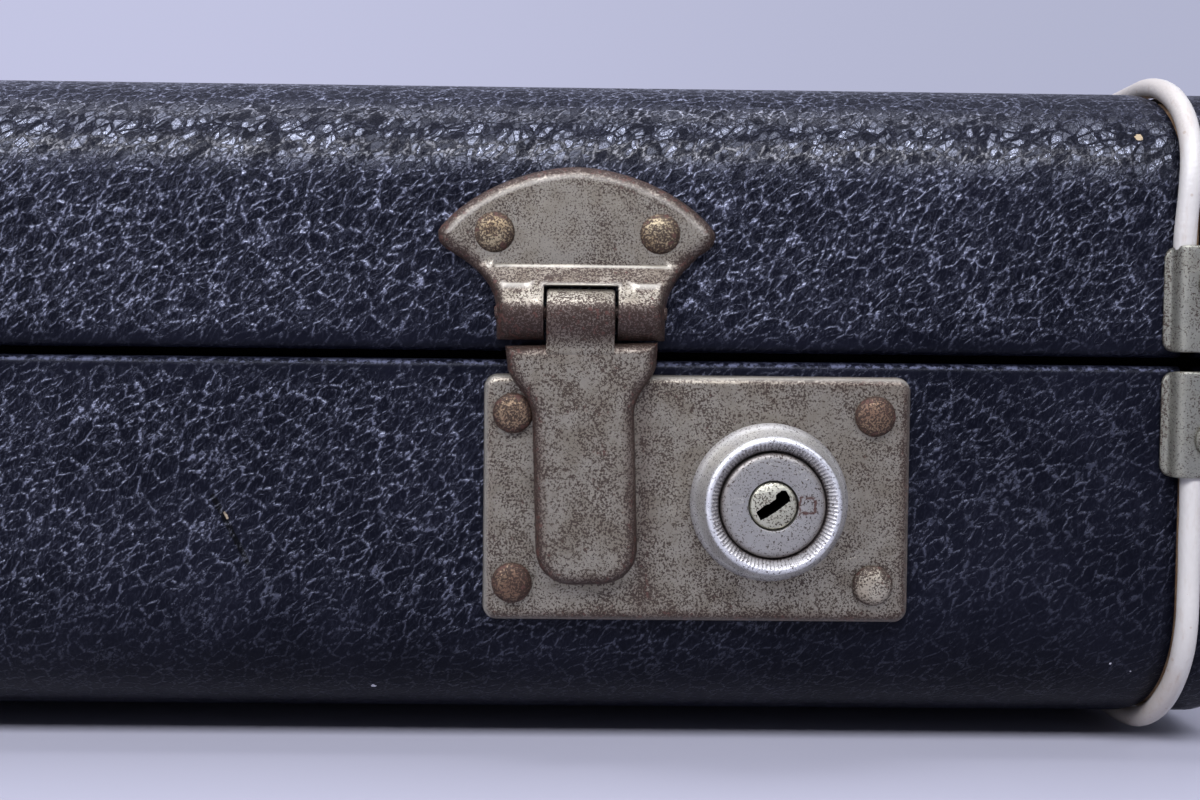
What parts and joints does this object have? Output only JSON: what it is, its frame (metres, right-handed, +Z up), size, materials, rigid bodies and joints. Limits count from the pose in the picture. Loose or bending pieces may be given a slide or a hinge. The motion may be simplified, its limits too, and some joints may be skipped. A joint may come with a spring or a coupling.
{
  "type": "guitar case",
  "caption": "Rectangular hard guitar case: leathercloth over a wooden frame, piped ends, hinged lid, hasp locks with sliding knobs, carrying handle and plush lining.",
  "frame": {"origin": "on the floor under the middle of the whole part, case lying flat and closed", "axes": "+X along the case towards the keyed lock's end, -Y out of the front with the locks and handle, +Z up"},
  "size_m": [1.04, 0.3594, 0.1113],
  "materials": {
    "leathercloth": "pebbled satin leathercloth, very dark navy",
    "piping_vinyl": "satin off-white vinyl, slightly soiled",
    "nickel": "aged nickel plate with brown rust specks",
    "satin_metal": "satin grey metal",
    "plywood": "bare wood",
    "plush": "short pile plush, dark red",
    "handle_cover": "moulded black, satin"
  },
  "bodies": {
    "body": {"body_cover": "leathercloth", "body_end_cover_left": "leathercloth", "body_end_cover_right": "leathercloth", "body_piping_left": "piping_vinyl", "body_piping_right": "piping_vinyl", "body_clip_front_left": "satin_metal", "body_clip_front_right": "satin_metal", "body_clip_back_left": "satin_metal", "body_clip_back_right": "satin_metal", "body_frame": "plywood", "body_lining": "plush", "bottom_panel": "plywood", "neck_rest": "plush", "neck_side_block": "plush", "accessory_box": "plush", "hinge_left_body_leaf": "nickel", "hinge_left_pin": "nickel", "hinge_middle_body_leaf": "nickel", "hinge_middle_pin": "nickel", "hinge_right_body_leaf": "nickel", "hinge_right_pin": "nickel", "right_lock_plate": "nickel", "lock_rivet_1": "nickel", "lock_rivet_2": "nickel", "lock_rivet_3": "nickel", "lock_rivet_4": "nickel", "lock_box": "nickel", "left_lock_plate": "nickel", "handle_bracket_left": "nickel", "handle_bracket_right": "nickel"},
    "lid": {"lid_cover": "leathercloth", "lid_end_cover_left": "leathercloth", "lid_end_cover_right": "leathercloth", "lid_piping_left": "piping_vinyl", "lid_piping_right": "piping_vinyl", "lid_clip_front_left": "satin_metal", "lid_clip_front_right": "satin_metal", "lid_clip_back_left": "satin_metal", "lid_clip_back_right": "satin_metal", "lid_frame": "plywood", "lid_lining": "plush", "top_panel": "plywood", "hinge_left_lid_leaf": "nickel", "hinge_middle_lid_leaf": "nickel", "hinge_right_lid_leaf": "nickel", "right_hasp_bracket": "nickel", "hasp_rivet_1": "nickel", "hasp_rivet_2": "nickel", "right_hasp_pin": "nickel", "left_hasp_bracket": "nickel", "left_hasp_pin": "nickel"},
    "right_hasp": {"right_hasp": "nickel"},
    "left_hasp": {"left_hasp": "nickel"},
    "right_slide": {"right_slide_ring": "satin_metal", "right_knob_face": "satin_metal", "lock_bolt": "nickel"},
    "key_plug": {"key_plug": "nickel"},
    "left_slide": {"left_slide_knob": "satin_metal"},
    "handle": {"handle_grip": "handle_cover"},
    "accessory_lid": {"accessory_lid": "plush"}
  },
  "joints": [
    {"name": "lid_hinge", "type": "hinge", "parent": "body", "child": "lid", "pos_m": [0, 0.17645, 0.06308], "axis": [-1, 0, 0], "range_deg": [0, 100]},
    {"name": "right_hasp_hinge", "type": "hinge", "parent": "lid", "child": "right_hasp", "pos_m": [0.4127, -0.16615, 0.06953], "axis": [-1, 0, 0], "range_deg": [0, 125]},
    {"name": "left_hasp_hinge", "type": "hinge", "parent": "lid", "child": "left_hasp", "pos_m": [-0.4479, -0.16615, 0.06953], "axis": [-1, 0, 0], "range_deg": [0, 125]},
    {"name": "right_knob_slide", "type": "slide", "parent": "body", "child": "right_slide", "axis": [1, 0, 0], "range_m": [0, 0.0045], "stiffness_N_per_m": 300, "springref_m": -0.002},
    {"name": "left_knob_slide", "type": "slide", "parent": "body", "child": "left_slide", "axis": [1, 0, 0], "range_m": [0, 0.0045], "stiffness_N_per_m": 300, "springref_m": -0.002},
    {"name": "key_plug_turn", "type": "hinge", "parent": "right_slide", "child": "key_plug", "pos_m": [0.4413, -0.16975, 0.04093], "axis": [0, -1, 0], "range_deg": [0, 90]},
    {"name": "handle_swing", "type": "hinge", "parent": "body", "child": "handle", "pos_m": [0, -0.17225, 0.04943], "axis": [-1, 0, 0], "range_deg": [0, 175]},
    {"name": "accessory_lid_hinge", "type": "hinge", "parent": "body", "child": "accessory_lid", "pos_m": [0.02, -0.13985, 0.043], "axis": [1, 0, 0], "range_deg": [0, 90]}
  ]
}
